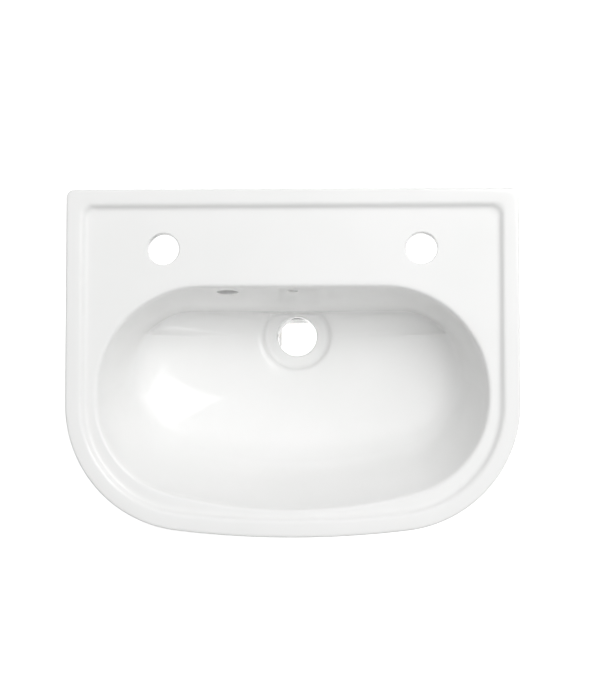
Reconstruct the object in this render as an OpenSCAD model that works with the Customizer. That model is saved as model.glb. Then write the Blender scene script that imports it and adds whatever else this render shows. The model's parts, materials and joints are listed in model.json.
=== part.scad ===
// Pedestal wash basin: a glazed ceramic basin with two tap holes, standing on a
// hollow ceramic pedestal that is open at the back. The basin beds on four rubber
// pads. Nylon sleeves line its wall-fixing holes, and a nylon cup with a hinged
// cover lid lines each floor-fixing hole of the pedestal.
// Frame: +Z up, the front faces -Y, the wall is at +Y. The origin is on the floor,
// under the middle of the overall box. Millimetres.

/* [Basin outline] */
// Overall width of the basin
basin_w = 505; // [425:1:620]
// Overall depth of the basin, wall to front
basin_d = 388; // [330:1:470]
// Height of the rim above the floor
rim_h = 850; // [760:1:1020]
// Radius of the two back corners
back_corner_r = 9; // [4:0.5:16]
// Radius of the two large front corners
front_corner_r = 141; // [100:1:170]
// Radius of the shallow front curve
front_arc_r = 1060; // [700:10:1600]

/* [Rim and deck] */
// Width of the raised band round the edge
rim_w = 14.5; // [10:0.5:16]
// Width of the rounded moulding that drops from the band to the deck
cove_w = 10.5; // [8.5:0.5:12.5]
// Drop from the band to the deck
deck_drop = 6; // [4:0.5:9]
// Thickness of the deck under the taps
deck_t = 16; // [12:0.5:20]
// Height of the upright apron below the rim
apron_h = 46; // [36:1:60]

/* [Bowl] */
// Deck left of and right of the bowl, apron face to bowl
side_ledge = 36; // [33:1:60]
// Ledge in front of the bowl
front_ledge = 33; // [32:1:60]
// Shelf behind the bowl, which carries the taps
tap_shelf = 111; // [96:0.5:130]
// Radius of the bowl's back corners
bowl_back_r = 115; // [70:1:120]
// Radius of the bowl's front corners
bowl_front_r = 108; // [80:1:120]
// Depth of the bowl from the deck to the waste seat
bowl_depth = 146; // [122:1:175]
// Thickness of the bowl's wall
wall_t = 13; // [10:0.5:16]

/* [Holes] */
// Diameter of a tap hole
tap_hole_d = 35; // [30:0.5:38]
// Distance between the tap holes
tap_spacing = 288; // [240:1:310]
// Distance of the tap holes from the wall
tap_setback = 67; // [56:0.5:70]
// Diameter of the waste hole
waste_d = 46; // [38:0.5:52]
// Distance of the waste hole's centre in front of the bowl's back edge
waste_setback = 43; // [42:0.5:56]
// Height of the wall of the waste hole
waste_boss_h = 44; // [36:1:52]
// Diameter of the dished seat round the waste hole
dish_d = 78; // [70:1:92]
// Diameter of the overflow hole
overflow_d = 23; // [18:0.5:26]
// Distance of the overflow hole left of the middle
overflow_x = 74; // [60:1:90]
// Depth of the overflow hole's centre below the deck
overflow_drop = 28; // [24:1:36]
// Diameter of the chain stay hole
stay_hole_d = 10; // [8:0.5:12]
// Depth of the chain stay hole below the deck
stay_drop = 22; // [18:1:26]

/* [Wall fixing] */
// Distance between the two wall-fixing holes
wall_fix_spacing = 200; // [160:1:240]
// Distance of the wall-fixing holes below the rim
wall_fix_drop = 84; // [70:1:100]
// Depth of the basin's rear wall below the rim
rear_wall_h = 132; // [125:1:140]
// Thickness of the wall that lies against the room's wall
rear_wall_t = 14; // [11:0.5:18]
// Diameter of the bolt hole through a nylon sleeve
sleeve_bore_d = 10.5; // [8:0.5:12.5]
// Thickness of a sleeve's tube
sleeve_t = 3.6; // [2.6:0.1:4.4]
// Diameter of a sleeve's flange
sleeve_flange_d = 28; // [23:1:34]

/* [Pedestal] */
// Width of the pedestal where the basin sits on it
seat_w = 198; // [175:1:236]
// Width of the pedestal's waist
waist_w = 158; // [138:1:176]
// Width of the pedestal's foot
foot_w = 226; // [196:1:270]
// Wall thickness of the pedestal
ped_t = 14; // [11:0.5:16]
// Height of the upright plinth at the foot
plinth_h = 30; // [24:1:40]
// Distance from the waste hole's centre to the front of the seat
seat_front = 102; // [88:1:122]
// Distance from the waste hole's centre to the back of the seat
seat_back = 64; // [54:1:76]
// Thickness of a rubber bedding pad
pad_t = 3; // [2:0.5:4]
// Depth that the basin's collar reaches down over the pedestal
socket_depth = 10; // [8:0.5:14]

/* [Floor fixing] */
// Diameter of the screw hole through a floor cup
floor_screw_d = 6.5; // [5:0.5:8]
// Diameter of a floor cup's flange and lid
cup_d = 24; // [20:1:29]
// Height of the hollow cover lid
lid_h = 7; // [6:0.5:10]
// Diameter of the lid's hinge pin
pin_d = 1.6; // [1.3:0.1:2]

/* [Hidden] */

$fn = 48;
eps = 0.5;              // how far a cutter passes the face that it cuts
glaze = [0.93, 0.93, 0.92];
rubber = [0.13, 0.13, 0.14];
nylon = [0.86, 0.86, 0.84];
steel = [0.72, 0.73, 0.75];

// Intervals of half an outline: back edge, back corner, side, front corner, front arc
STEPS = [6, 6, 4, 8, 6];

push_clear = 0.1;       // between a sleeve or cup and the hole it is pushed into
hinge_clear = 0.06;     // between the hinge pin and the lid's knuckle
side_clear = 0.25;      // between the knuckle and the ears beside it
socket_clear = 2;       // between the pedestal's top and the basin's collar
collar_t = 10;          // thickness of the collar round the pedestal's top
seat_bed_h = 5;         // from the waste's end up to where the basin beds on its pads
floor_rise = 7;         // from the dish's seat to the bowl's floor
foot_inset = [28, 15, 54];  // from the bowl's lip to its wall's foot: sides, back, front
foot_corner_r = [70, 82];   // back and front corners of the wall's foot
lip_arc_r = 500;        // front arcs of the bowl's lip, its wall's foot and the pedestal
foot_arc_r = 400;
ped_arc_r = 300;
ped_corner_cut = 14;    // how much less than half its width the pedestal's front corners turn
square_r = 2;           // radius of corners that are square but for a trace of rounding

half_w = basin_w / 2;
half_d = basin_d / 2;
deck_z = rim_h - deck_drop;
seat_z = deck_z - bowl_depth;               // the dish's flat seat for a waste
bowl_back_y = half_d - tap_shelf;
waste_y = bowl_back_y - waste_setback;
boss_z = seat_z - waste_boss_h;             // underside of the waste boss
tap_y = half_d - tap_setback;
ceiling_z = deck_z - deck_t;                // underside of the deck
ledge_z = boss_z + seat_bed_h;              // where the basin beds on its pads
ped_h = ledge_z - pad_t;
collar_z = ledge_z - socket_depth;
rear_low_z = rim_h - rear_wall_h;           // lower edge of the rear wall
boss_r = waste_d / 2 + wall_t;

// ---------------------------------------------------------------- outlines
// An outline is [half width, back y, back corner r, front y, front corner r, front arc r].
function grow(o, e) = [o[0] + e, o[1] + e, max(square_r, o[2] + e), o[3] - e, o[4] + e, o[5] + e];
function lerp(a, b, f) = a + (b - a) * f;

// How far the front corner's centre lies behind the front of an outline
function front_rise(w, rf, ra) = ra - sqrt(max(0, pow(ra - rf, 2) - pow(w - rf, 2)));

// The share of the corner radii that an outline has room for, 1 where all of it fits
function corner_share(o) = max([for (i = [10:100]) let (k = i / 100)
    if (o[2] * k + front_rise(o[0], o[4] * k, o[5]) <= o[1] - o[3] - 2
        && max(o[2], o[4]) * k < o[0] - 2) k]);

// Points of one half, from the middle of the back to just before the middle of the front
function half_outline(o) = let (
        k = corner_share(o),
        w = o[0], yb = o[1], rb = o[2] * k, yf = o[3], rf = o[4] * k, ra = o[5],
        cy = yf + front_rise(w, rf, ra),
        turn = atan2(cy - (yf + ra), w - rf))
    concat(
        [for (i = [0:STEPS[0] - 1]) [(w - rb) * i / STEPS[0], yb]],
        [for (i = [0:STEPS[1] - 1]) let (a = 90 - 90 * i / STEPS[1])
            [w - rb + rb * cos(a), yb - rb + rb * sin(a)]],
        [for (i = [0:STEPS[2] - 1]) [w, lerp(yb - rb, cy, i / STEPS[2])]],
        [for (i = [0:STEPS[3] - 1]) let (a = turn * i / STEPS[3])
            [w - rf + rf * cos(a), cy + rf * sin(a)]],
        [for (i = [0:STEPS[4] - 1]) let (a = lerp(turn, -90, i / STEPS[4]))
            [ra * cos(a), yf + ra + ra * sin(a)]]);

// The whole closed outline, clockwise from above
function outline(o) = let (h = half_outline(o), n = len(h))
    concat(h, [[0, o[3]]], [for (i = [n - 1:-1:1]) [-h[i][0], h[i][1]]]);

function ring(o, z) = [for (p = outline(o)) [p[0], p[1], z]];
function mix(a, b, f, z) = [for (i = [0:len(a) - 1])
    [lerp(a[i][0], b[i][0], f), lerp(a[i][1], b[i][1], f), z]];

// ---------------------------------------------------------------- basin form
rim_o = [half_w, half_d, back_corner_r, -half_d, front_corner_r, front_arc_r];
lip_o = [half_w - side_ledge, bowl_back_y, bowl_back_r, -half_d + front_ledge, bowl_front_r, lip_arc_r];
// Where the bowl's wall turns into its floor
foot_o = [lip_o[0] - foot_inset[0], lip_o[1] - foot_inset[1], foot_corner_r[0],
          lip_o[3] + foot_inset[2], foot_corner_r[1], foot_arc_r];
seat_o = [seat_w / 2, waste_y + seat_back, square_r,
          waste_y - seat_front, seat_w / 2 - ped_corner_cut, ped_arc_r];
collar_o = grow(seat_o, socket_clear + collar_t);

// An inset of the rim that keeps its crisp back corners
function rim(e, z) = ring([rim_o[0] - e, rim_o[1] - e, back_corner_r,
                           rim_o[3] + e, rim_o[4] - e, rim_o[5] - e], z);
function lip(e, z) = ring(grow(lip_o, e), z);

// The smaller of two values, with a rounded change from one to the other
function soft_min(a, b, k) = -k * ln(exp(-a / k) + exp(-b / k));

// A circle round the waste hole, flattened where it meets the bowl's back wall
function dish(r, z, gap) = [for (p = outline(lip_o)) let (a = atan2(p[1] - waste_y, p[0]))
    [r * cos(a), soft_min(waste_y + r * sin(a), foot_o[1] - gap, 1.5), z]];

dish_r = dish_d / 2;
lip_ring = lip(0, 0);
foot_ring = ring(foot_o, 0);
dish_ring = dish(dish_r + 6, 0, 0.6);

// Control rings from the waste seat up the bowl, over the deck and rim to the edge
function bowl_rings() = let (wall_h = bowl_depth - floor_rise) [
    dish(dish_r - 8, seat_z, 4),
    dish(dish_r - 4, seat_z, 3),
    dish(dish_r - 1, seat_z + 1.5, 2.2),
    dish(dish_r + 1, seat_z + floor_rise - 1.5, 1.4),
    dish(dish_r + 6, seat_z + floor_rise, 0.6),
    mix(foot_ring, dish_ring, 0.62, seat_z + floor_rise + 5),
    mix(foot_ring, dish_ring, 0.32, seat_z + floor_rise + 12),
    mix(foot_ring, dish_ring, 0.11, seat_z + floor_rise + 20),
    mix(lip_ring, foot_ring, 1.0, seat_z + floor_rise + 29),
    mix(lip_ring, foot_ring, 0.82, seat_z + floor_rise + 41),
    mix(lip_ring, foot_ring, 0.55, deck_z - wall_h * 0.56),
    mix(lip_ring, foot_ring, 0.29, deck_z - wall_h * 0.33),
    mix(lip_ring, foot_ring, 0.06, deck_z - wall_h * 0.10),
    lip(0.6, deck_z - 3.5),
    lip(2.6, deck_z - 0.6),
    lip(5.6, deck_z)
];
function deck_rings() = let (inner = lip(5.6, deck_z), outer = rim(rim_w + cove_w + 1, deck_z)) [
    mix(inner, outer, 0.22, deck_z),
    mix(inner, outer, 0.8, deck_z),
    outer,
    rim(rim_w + cove_w * 0.95, deck_z + deck_drop * 0.02),
    rim(rim_w + cove_w * 0.66, deck_z + deck_drop * 0.22),
    rim(rim_w + cove_w * 0.34, rim_h - deck_drop * 0.22),
    rim(rim_w + cove_w * 0.05, rim_h - deck_drop * 0.02),
    rim(rim_w - 4, rim_h),
    rim(6, rim_h - 0.1)
];

// Control rings from the edge down the apron and the belly to the collar
function belly(o, back, z) = ring([o[0], back, back_corner_r, o[3], o[4], o[5]], z);
function shell_rings() = let (
        apron_z = rim_h - apron_h,
        top_o = grow(lip_o, 6), mid_o = grow(foot_o, wall_t + 9), low_o = grow(foot_o, wall_t),
        bottom = seat_z - 4,
        drop = apron_z - rear_low_z) [
    rim(2, rim_h - 0.8),
    rim(0, rim_h - 3.5),
    rim(0, rim_h - 9),
    rim(0, apron_z + 13),
    rim(0.4, apron_z + 5),
    rim(4.5, apron_z + 0.5),
    rim(11, apron_z),
    belly(grow(top_o, 5), half_d, apron_z - 1),
    belly(top_o, half_d, apron_z - drop * 0.16),
    belly(grow(mid_o, 6), half_d, apron_z - drop * 0.60),
    belly(mid_o, half_d, rear_low_z + 8),
    belly(grow(low_o, 3), half_d - 1, rear_low_z + 1),
    belly(grow(low_o, 2), half_d - 9, rear_low_z),
    belly(grow(low_o, 1), bowl_back_y + wall_t - 4, rear_low_z - 0.5),
    belly(low_o, bowl_back_y + wall_t - 4, rear_low_z - 3),
    mix(ring(low_o, 0), ring(collar_o, 0), 0.35, bottom + 4),
    mix(ring(low_o, 0), ring(collar_o, 0), 0.68, bottom - 2),
    mix(ring(low_o, 0), ring(collar_o, 0), 0.92, bottom - 8),
    ring(collar_o, bottom - 20),
    ring(collar_o, bottom - 28),
    ring(collar_o, collar_z)
];

// ---------------------------------------------------------------- skinning
// Rings on a smooth surface that follows control rings, and meets the first and last
function smooth_rings(c) = let (n = len(c)) concat(
    [c[0]],
    [for (k = [1:n - 2]) [for (i = [0:len(c[0]) - 1])
        (c[k - 1][i] + 4 * c[k][i] + c[k + 1][i]) / 6]],
    [c[n - 1]]);

// A closed solid through rings of the same number of points, with flat ends
module skin(rings) {
    n = len(rings[0]);
    last = len(rings) - 1;
    polyhedron(
        points = [for (r = rings) each r],
        // Each flat end starts at the front, so no sliver follows the straight back edge
        faces = concat(
            [[for (i = [0:n - 1]) (i + n / 2) % n]],
            [for (k = [0:last - 1]) for (i = [0:n - 1]) let (j = (i + 1) % n)
                each [[k * n + i, (k + 1) * n + i, k * n + j],
                      [k * n + j, (k + 1) * n + i, (k + 1) * n + j]]],
            [[for (i = [n:-1:1]) last * n + (i + n / 2) % n]]),
        convexity = 8);
}

module prism(o, z_low, z_high) {
    translate([0, 0, z_low])
        linear_extrude(z_high - z_low)
            polygon(outline(o));
}

// A cylinder along Y
module y_rod(x, y_low, y_high, z, r) {
    translate([x, y_high, z])
        rotate([90, 0, 0])
            cylinder(h = y_high - y_low, r = r);
}

// ---------------------------------------------------------------- basin
duct_w = 26;            // inside width of the overflow duct
duct_d = 14;            // inside depth of the duct
duct_t = 8;             // thickness of the duct's walls
duct_bite = 1.5;        // how far the duct's hollow reaches into the bowl's back wall
waste_port_d = 16;      // hole through which the duct empties into the waste
duct_foot_h = 28;       // height of the casting that joins the duct to the waste's boss
boss_overlap = 4;       // how far the boss stops below the dish's seat
duct_y = bowl_back_y + wall_t - duct_bite;
duct_low_z = boss_z + 20;
overflow_z = deck_z - overflow_drop;

// The duct's outline seen from the front, from the overflow hole down to the waste
module duct_band(w) {
    hull() {
        translate([-overflow_x, overflow_z])
            circle(d = w);
        translate([0, duct_low_z])
            circle(d = w);
    }
}

module duct_layer(w, y_low, y_high) {
    translate([0, y_high, 0])
        rotate([90, 0, 0])
            linear_extrude(y_high - y_low)
                duct_band(w);
}

// The open space behind the bowl, wide under the deck and narrow behind the collar
module tap_pocket() {
    for (level = [[foot_o[0] - 2, rear_low_z - 3], [collar_o[0] - collar_t, collar_z - eps]])
        translate([0, 0, level[1]])
            linear_extrude(ceiling_z - level[1])
                difference() {
                    translate([-level[0], waste_y])
                        square([2 * level[0], half_d - rear_wall_t - waste_y]);
                    polygon(outline(grow(lip_o, wall_t)));
                }
}

// What the waste needs below the bowl: the boss and the end of the overflow duct
module waste_boss() {
    translate([0, waste_y, boss_z])
        cylinder(h = waste_boss_h - boss_overlap, r = boss_r);
    translate([-duct_w / 2 - duct_t / 2, waste_y + boss_r / 2, duct_low_z - duct_foot_h / 2])
        cube([duct_w + duct_t, duct_y + duct_d - waste_y - boss_r / 2, duct_foot_h]);
}

module basin() {
    // The hollow under the bowl, a little inside the pedestal's own hollow
    cavity_o = grow(seat_o, -ped_t - 2);
    cavity_z = seat_z - wall_t + boss_overlap;
    color(glaze)
    difference() {
        union() {
            difference() {
                skin(smooth_rings(concat(bowl_rings(), deck_rings(), shell_rings())));
                tap_pocket();
                prism(grow(seat_o, socket_clear), collar_z - eps, ledge_z);
                prism(cavity_o, collar_z - eps, cavity_z);
            }
            waste_boss();
            duct_layer(duct_w + 2 * duct_t, duct_y - duct_t, duct_y + duct_d + duct_t);
        }
        duct_layer(duct_w, duct_y, duct_y + duct_d);
        y_rod(0, waste_y, duct_y + eps, duct_low_z, waste_port_d / 2);
        y_rod(-overflow_x, waste_y, duct_y + eps, overflow_z, overflow_d / 2);
        y_rod(0, waste_y, bowl_back_y + wall_t + eps, deck_z - stay_drop, stay_hole_d / 2);
        translate([0, waste_y, boss_z - eps])
            cylinder(h = waste_boss_h + floor_rise + eps, d = waste_d);
        for (side = [-1, 1]) {
            translate([side * tap_spacing / 2, tap_y, ceiling_z - eps])
                cylinder(h = deck_t + 2 * eps, d = tap_hole_d);
            y_rod(side * wall_fix_spacing / 2, half_d - rear_wall_t - eps, half_d + eps,
                  rim_h - wall_fix_drop, sleeve_bore_d / 2 + sleeve_t + push_clear);
        }
    }
}

// ---------------------------------------------------------------- pedestal
waist_front = seat_front - 18;
foot_front = seat_front + 20;
waist_back = seat_back + 4;
foot_back = seat_back + 22;
lug_h = 16;
lug_edge = 18;          // from a floor screw to the free edges of its lug
lug_reach = 32;         // from the pedestal's inner side to a floor screw
lug_back = 17;          // from the web to a floor screw
foot_gap = 1;           // the lugs and the web stay this far off the floor
bridge_t = 12;          // thickness of the webs that close the open back
bridge_inset = 2;       // how far the webs lie in front of the pedestal's back edges
top_bridge_h = 44;
top_bridge_drop = 62;   // from the pedestal's top to the foot of the upper web
lug_x = foot_w / 2 - ped_t - lug_reach;
lug_y = waste_y + foot_back - bridge_t - lug_back;

// One level of the pedestal's outside: [half width, front distance, back distance, height]
function ped_levels() = let (seat = [seat_w / 2, seat_front, seat_back],
                             waist = [waist_w / 2, waist_front, waist_back],
                             foot = [foot_w / 2, foot_front, foot_back]) [
    concat(foot, 0),
    concat(foot, plinth_h * 0.5),
    concat(foot, plinth_h),
    concat(lerp(foot, waist, 0.12), plinth_h + 5),
    concat(lerp(foot, waist, 0.30), plinth_h + 9),
    concat(lerp(foot, waist, 0.55), plinth_h + 30),
    concat(lerp(foot, waist, 0.82), plinth_h + 80),
    concat(waist, plinth_h + 165),
    concat(waist, ped_h * 0.56),
    concat(lerp(waist, seat, 0.18), ped_h - 145),
    concat(lerp(waist, seat, 0.55), ped_h - 80),
    concat(lerp(waist, seat, 0.92), ped_h - 36),
    concat(seat, ped_h - 18),
    concat(seat, ped_h)
];

// The U of one level: outside from the back right round the front, then inside back again
function u_side(hw, yf, yb) = let (
        o = [hw, yb, square_r, yf, hw - ped_corner_cut, ped_arc_r],
        h = half_outline(o),
        first = STEPS[0] + STEPS[1],
        right = concat([[hw, yb]], [for (i = [first + 1:len(h) - 1]) h[i]]),
        n = len(right))
    concat(right, [[0, yf]], [for (i = [n - 1:-1:0]) [-right[i][0], right[i][1]]]);

function u_ring(level) = let (
        yf = waste_y - level[1], yb = waste_y + level[2], z = level[3],
        out = u_side(level[0], yf, yb),
        inn = u_side(level[0] - ped_t, yf + ped_t, yb),
        n = len(out))
    concat([for (p = out) [p[0], p[1], z]],
           [for (i = [n - 1:-1:0]) [inn[i][0], inn[i][1], z]]);

module u_skin(rings) {
    n = len(rings[0]);
    last = len(rings) - 1;
    half = n / 2;
    top = last * n;
    polyhedron(
        points = [for (r = rings) each r],
        faces = concat(
            [for (i = [0:half - 2]) each [[i + 1, i, n - 1 - i], [n - 2 - i, i + 1, n - 1 - i]]],
            [for (k = [0:last - 1]) for (i = [0:n - 1]) let (j = (i + 1) % n)
                each [[k * n + i, k * n + j, (k + 1) * n + i],
                      [k * n + j, (k + 1) * n + j, (k + 1) * n + i]]],
            [for (i = [0:half - 2])
                each [[top + i, top + i + 1, top + n - 1 - i],
                      [top + i + 1, top + n - 2 - i, top + n - 1 - i]]]),
        convexity = 6);
}

// A web across the open back
module back_bridge(half_width, y_back, z_low, h) {
    translate([-half_width, y_back - bridge_t, z_low])
        cube([2 * half_width, bridge_t, h]);
}

cup_tube_t = 2.6;       // thickness of a floor cup's tube
cup_tube_r = floor_screw_d / 2 + cup_tube_t;

module pedestal() {
    foot_y = waste_y + foot_back;
    side_x = (foot_w - ped_t) / 2;
    color(glaze)
    difference() {
        union() {
            u_skin(smooth_rings([for (l = ped_levels()) u_ring(l)]));
            back_bridge(side_x, foot_y - bridge_inset, foot_gap, plinth_h - 2 * foot_gap);
            back_bridge((seat_w - ped_t) / 2, waste_y + seat_back - bridge_inset,
                        ped_h - top_bridge_drop, top_bridge_h);
            for (side = [-1, 1])
                translate([side > 0 ? lug_x - lug_edge : -side_x, lug_y - lug_edge, foot_gap])
                    cube([side_x - lug_x + lug_edge, foot_y - bridge_t / 2 - lug_y + lug_edge,
                          lug_h - foot_gap]);
        }
        for (side = [-1, 1])
            translate([side * lug_x, lug_y, -eps])
                cylinder(h = lug_h + 2 * eps, r = cup_tube_r + push_clear);
    }
}

// ---------------------------------------------------------------- small pieces
pad_l = 30;
pad_w = ped_t - 5;
pad_edge = 4;           // from the back of the seat to a back pad
front_pad_y = waste_y - 8;

module pad(x, y) {
    color(rubber)
    translate([x, y, ped_h])
        linear_extrude(pad_t)
            square([pad_w, pad_l], center = true);
}

// The pads lie on the pedestal's straight side walls, near the front and at the back
module seat_pad(side, end) {
    pad(side * (seat_w - ped_t) / 2,
        end > 0 ? waste_y + seat_back - pad_l / 2 - pad_edge : front_pad_y);
}

module wall_sleeve(side) {
    r = sleeve_bore_d / 2;
    face_t = 3;
    color(nylon)
    translate([side * wall_fix_spacing / 2, half_d - rear_wall_t, rim_h - wall_fix_drop])
        rotate([-90, 0, 0])
            difference() {
                union() {
                    translate([0, 0, -face_t])
                        cylinder(h = face_t, d = sleeve_flange_d);
                    cylinder(h = rear_wall_t - 1, r = r + sleeve_t);
                }
                translate([0, 0, -face_t - eps])
                    cylinder(h = rear_wall_t + face_t + 2 * eps, r = r);
            }
}

flange_t = 2.4;         // thickness of the floor cup's flange
hinge_r = 2;            // radius of the knuckle and the ears
ear_t = 2.2;
ear_root = 4;           // how far an ear reaches in over the flange
knuckle_l = 6;
hinge_gap = 0.5;        // between the cup's flange and the turning knuckle
lid_gap = 0.25;         // between the flange and the rim of the closed lid
hinge_x = cup_d / 2 + hinge_r + hinge_gap;
hinge_z = lug_h + flange_t + hinge_r + hinge_gap;

// Everything of one floor fixing is drawn for the right side, with its hinge inwards
module at_lug(side) {
    translate([side * lug_x, lug_y, 0])
        rotate([0, 0, side > 0 ? 180 : 0])
            children();
}

module hinge_rod(length, r) {
    translate([hinge_x, length / 2, hinge_z])
        rotate([90, 0, 0])
            cylinder(h = length, r = r);
}

module floor_cup(side) {
    ear_y = knuckle_l / 2 + side_clear;
    color(nylon)
    at_lug(side)
        difference() {
            union() {
                translate([0, 0, lug_h])
                    cylinder(h = flange_t, d = cup_d);
                translate([0, 0, foot_gap])
                    cylinder(h = lug_h, r = cup_tube_r);
                for (s = [-1, 1])
                    translate([0, s * (ear_y + ear_t / 2), 0]) {
                        hinge_rod(ear_t, hinge_r);
                        translate([cup_d / 2 - ear_root, -ear_t / 2, lug_h])
                            cube([hinge_x + hinge_r - cup_d / 2 + ear_root, ear_t, hinge_z - lug_h]);
                    }
            }
            translate([0, 0, -eps])
                cylinder(h = lug_h + 3 * flange_t, d = floor_screw_d);
            hinge_rod(2 * (ear_y + ear_t + eps), pin_d / 2);
            // Room for the lid's edge between and beside the ears
            translate([0, 0, lug_h + flange_t])
                cylinder(h = lid_h, d = cup_d + 2 * hinge_gap);
        }
}

module floor_lid(side) {
    z = lug_h + flange_t + lid_gap;
    taper = 2.5;
    wall = 1.5;
    arm_root = 3;       // how far the hinge arm reaches into the lid
    color(nylon)
    at_lug(side)
        difference() {
            union() {
                translate([0, 0, z])
                    cylinder(h = lid_h, r1 = cup_d / 2, r2 = cup_d / 2 - taper);
                hinge_rod(knuckle_l, hinge_r);
                translate([cup_d / 2 - arm_root, -knuckle_l / 2, hinge_z - pin_d / 2])
                    cube([hinge_x - cup_d / 2 + arm_root, knuckle_l, hinge_r]);
            }
            translate([0, 0, z - eps])
                cylinder(h = lid_h - wall + eps, r = cup_d / 2 - taper - wall);
            hinge_rod(knuckle_l + 2 * eps, pin_d / 2 + hinge_clear);
        }
}

module lid_pin(side) {
    color(steel)
    at_lug(side)
        hinge_rod(knuckle_l + 2 * side_clear + 2 * ear_t, pin_d / 2);
}

basin();
pedestal();
seat_pad(-1, -1);  // pad_front_left
seat_pad(1, -1);  // pad_front_right
seat_pad(-1, 1);  // pad_back_left
seat_pad(1, 1);  // pad_back_right
wall_sleeve(-1);  // wall_sleeve_left
wall_sleeve(1);  // wall_sleeve_right
floor_cup(-1);  // floor_cup_left
floor_cup(1);  // floor_cup_right
floor_lid(-1);  // floor_lid_left
floor_lid(1);  // floor_lid_right
lid_pin(-1);  // lid_pin_left
lid_pin(1);  // lid_pin_right
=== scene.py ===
"""Looks of a glazed ceramic pedestal basin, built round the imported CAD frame. Metres."""
import json
import math

import bmesh
import bpy
import numpy as np
from mathutils import Matrix, Vector
from mathutils.bvhtree import BVHTree


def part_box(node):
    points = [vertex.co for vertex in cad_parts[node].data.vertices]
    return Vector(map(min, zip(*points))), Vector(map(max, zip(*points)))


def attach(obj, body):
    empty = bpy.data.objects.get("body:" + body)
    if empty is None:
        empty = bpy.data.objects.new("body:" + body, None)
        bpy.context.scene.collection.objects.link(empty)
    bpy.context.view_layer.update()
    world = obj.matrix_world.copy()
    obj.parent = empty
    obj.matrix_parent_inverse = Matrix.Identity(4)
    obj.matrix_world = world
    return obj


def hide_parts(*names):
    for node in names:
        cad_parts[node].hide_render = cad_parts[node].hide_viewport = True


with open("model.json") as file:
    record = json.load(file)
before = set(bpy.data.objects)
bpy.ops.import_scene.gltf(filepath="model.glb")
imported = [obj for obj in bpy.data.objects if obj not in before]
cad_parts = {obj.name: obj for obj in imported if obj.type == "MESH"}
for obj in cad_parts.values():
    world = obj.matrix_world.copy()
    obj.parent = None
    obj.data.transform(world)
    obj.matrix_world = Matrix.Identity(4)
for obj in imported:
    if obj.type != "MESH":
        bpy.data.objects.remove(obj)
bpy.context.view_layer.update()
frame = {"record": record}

MM = 0.001
MOUNTS = {m["name"]: m for m in frame["record"]["mounts"]}
BODY = "sink"

# ---------------------------------------------------------------- sizes from the frame
basin_low, basin_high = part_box("basin")
pedestal_low, pedestal_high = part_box("pedestal")
HALF_W = basin_high.x
HALF_D = basin_high.y
RIM_Z = basin_high.z


def mount_at(name):
    return Vector(MOUNTS[name]["pos_m"])


def bore_r(name):
    return MOUNTS[name]["dims"]["r_mm"] * MM


def bore_length(name):
    return MOUNTS[name]["dims"]["length_mm"] * MM


tap, waste, stay = mount_at("tap_hole_right"), mount_at("waste_hole"), mount_at("chain_stay_hole")
wall_bolt, floor_screw = mount_at("wall_fixing_right"), mount_at("floor_fixing_right")
tap_r, waste_r, stay_r = bore_r("tap_hole_right"), bore_r("waste_hole"), bore_r("chain_stay_hole")
deck_z = tap.z + bore_length("tap_hole_right") / 2
seat_z = waste.z + bore_length("waste_hole") / 2
boss_z = seat_z - bore_length("waste_hole")
collar_z = basin_low.z
ledge_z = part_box("pad_front_left")[1].z

# ---------------------------------------------------------------- named sizes of the looks
BACK_CORNER_R = 9 * MM
FRONT_CORNER_R = 141 * MM
FRONT_ARC_R = 1060 * MM
BACK_CORNER_GAIN = 0.12     # how much the rim's back corners open for each step inwards
RIM_W = 14.5 * MM           # flat band round the edge
COVE_W = 10.5 * MM          # moulding that drops from the band to the deck
DECK_T = 16 * MM
APRON_H = 46 * MM
SIDE_LEDGE = 36.5 * MM      # rim's edge to the bowl's wall, at the sides
FRONT_LEDGE = 32.5 * MM
BOWL_BACK_R = 115 * MM
BOWL_FRONT_R = 108 * MM
BOWL_FRONT_ARC_R = 520 * MM
FOOT_INSET = (28 * MM, 15 * MM, 54 * MM)    # bowl's lip to its wall's foot: sides, back, front
FOOT_CORNER_R = (70 * MM, 82 * MM)
FOOT_ARC_R = 400 * MM
WALL_T = 13 * MM
BOWL_BACK_Y = waste.y + 43 * MM
LIP_ROLL = 5.6 * MM         # rounded edge between the deck and the bowl
DISH_R = 39 * MM
DISH_EDGE = 6 * MM          # rounded edge between the waste's dish and the floor
FLOOR_RISE = 7 * MM
PED_T = 14 * MM
SEAT_HALF_W = 99 * MM       # the pedestal's top
SEAT_BACK = 64 * MM
SEAT_FRONT = 102 * MM
COLLAR_T = 12 * MM
SQUARE_R = 2 * MM
CORNER_CUT = 14 * MM        # how much less than half its width the pedestal's front corners turn
PED_ARC_R = 300 * MM
REAR_WALL_T = 14 * MM
REAR_LOW_Z = RIM_Z - 132 * MM
OVERFLOW_X = -74 * MM
OVERFLOW_R = 11.5 * MM
OVERFLOW_DROP = 28 * MM
DUCT_W = 26 * MM            # inside the overflow duct
DUCT_D = 14 * MM
DUCT_T = 8 * MM
DUCT_PORT_R = 8 * MM
DUCT_PORT_RISE = 20 * MM    # above the foot of the waste boss
DUCT_FOOT = (17 * MM, 14 * MM)
STAY_DEPTH = 26 * MM
WALL_HOLE_R = 8.95 * MM
CUT = 1 * MM                # how far a cutting tool runs past a face

# Points in each interval of half an outline: back edge, corner, side, corner, front
STEPS = (26, 22, 12, 38, 26)
SPAN_STEPS = 4              # rings in each span between control rings
SHORTEST_SIDE = 2 * MM
MOUTH_ANGLES = np.radians(np.arange(0, 81, 8))
MOUTH_FLARE = 4             # slope of a cutting tool outside the rounded mouth


# ---------------------------------------------------------------- outlines and rings
def front_rise(w, rf, ra):
    """How far the front corner's centre lies behind the front of an outline."""
    return ra - math.sqrt(max(0.0, (ra - rf) ** 2 - (w - rf) ** 2))


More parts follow.
